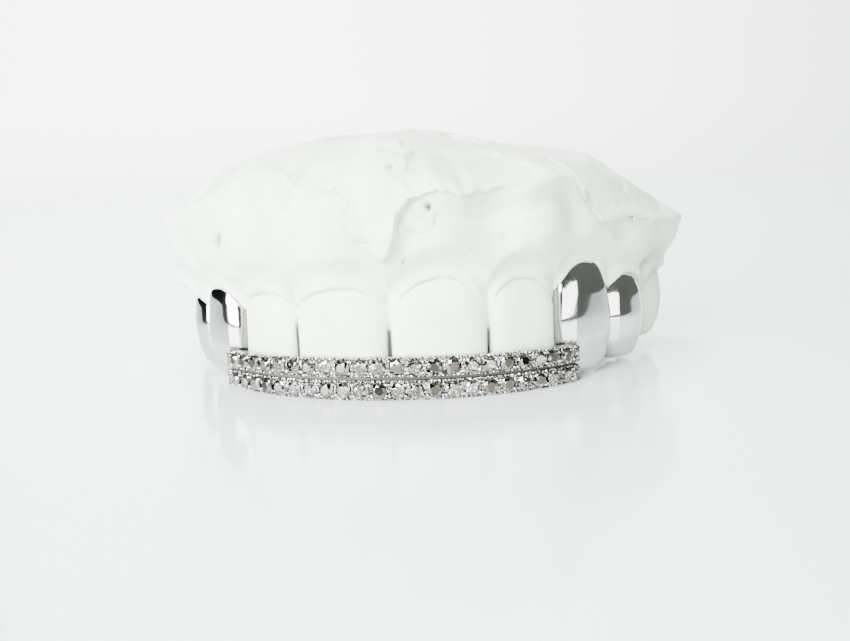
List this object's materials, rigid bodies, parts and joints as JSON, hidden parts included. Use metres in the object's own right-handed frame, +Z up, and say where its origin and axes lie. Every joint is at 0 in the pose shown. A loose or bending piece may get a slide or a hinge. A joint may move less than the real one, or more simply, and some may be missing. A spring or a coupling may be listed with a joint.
{
  "type": "grillz tooth cover on plaster dental cast",
  "caption": "Polished metal tooth caps joined by a bar with two rows of set stones, seated on the plaster cast of an upper jaw that stands teeth down.",
  "frame": {"origin": "middle of the object's footprint, on the surface that the caps and the bar stand on", "axes": "+Z up from the biting edges to the gum, -Y towards the front of the mouth, +X to the viewer's right"},
  "size_m": [0.0549, 0.0306, 0.0224],
  "materials": {
    "plaster": "matt dental plaster",
    "white_gold": "mirror polish",
    "clear_stone": "faceted"
  },
  "bodies": {
    "root": {"dental_cast": "plaster", "grill_frame": "white_gold", "lower_stones": "clear_stone", "upper_stones": "clear_stone"}
  },
  "joints": []
}
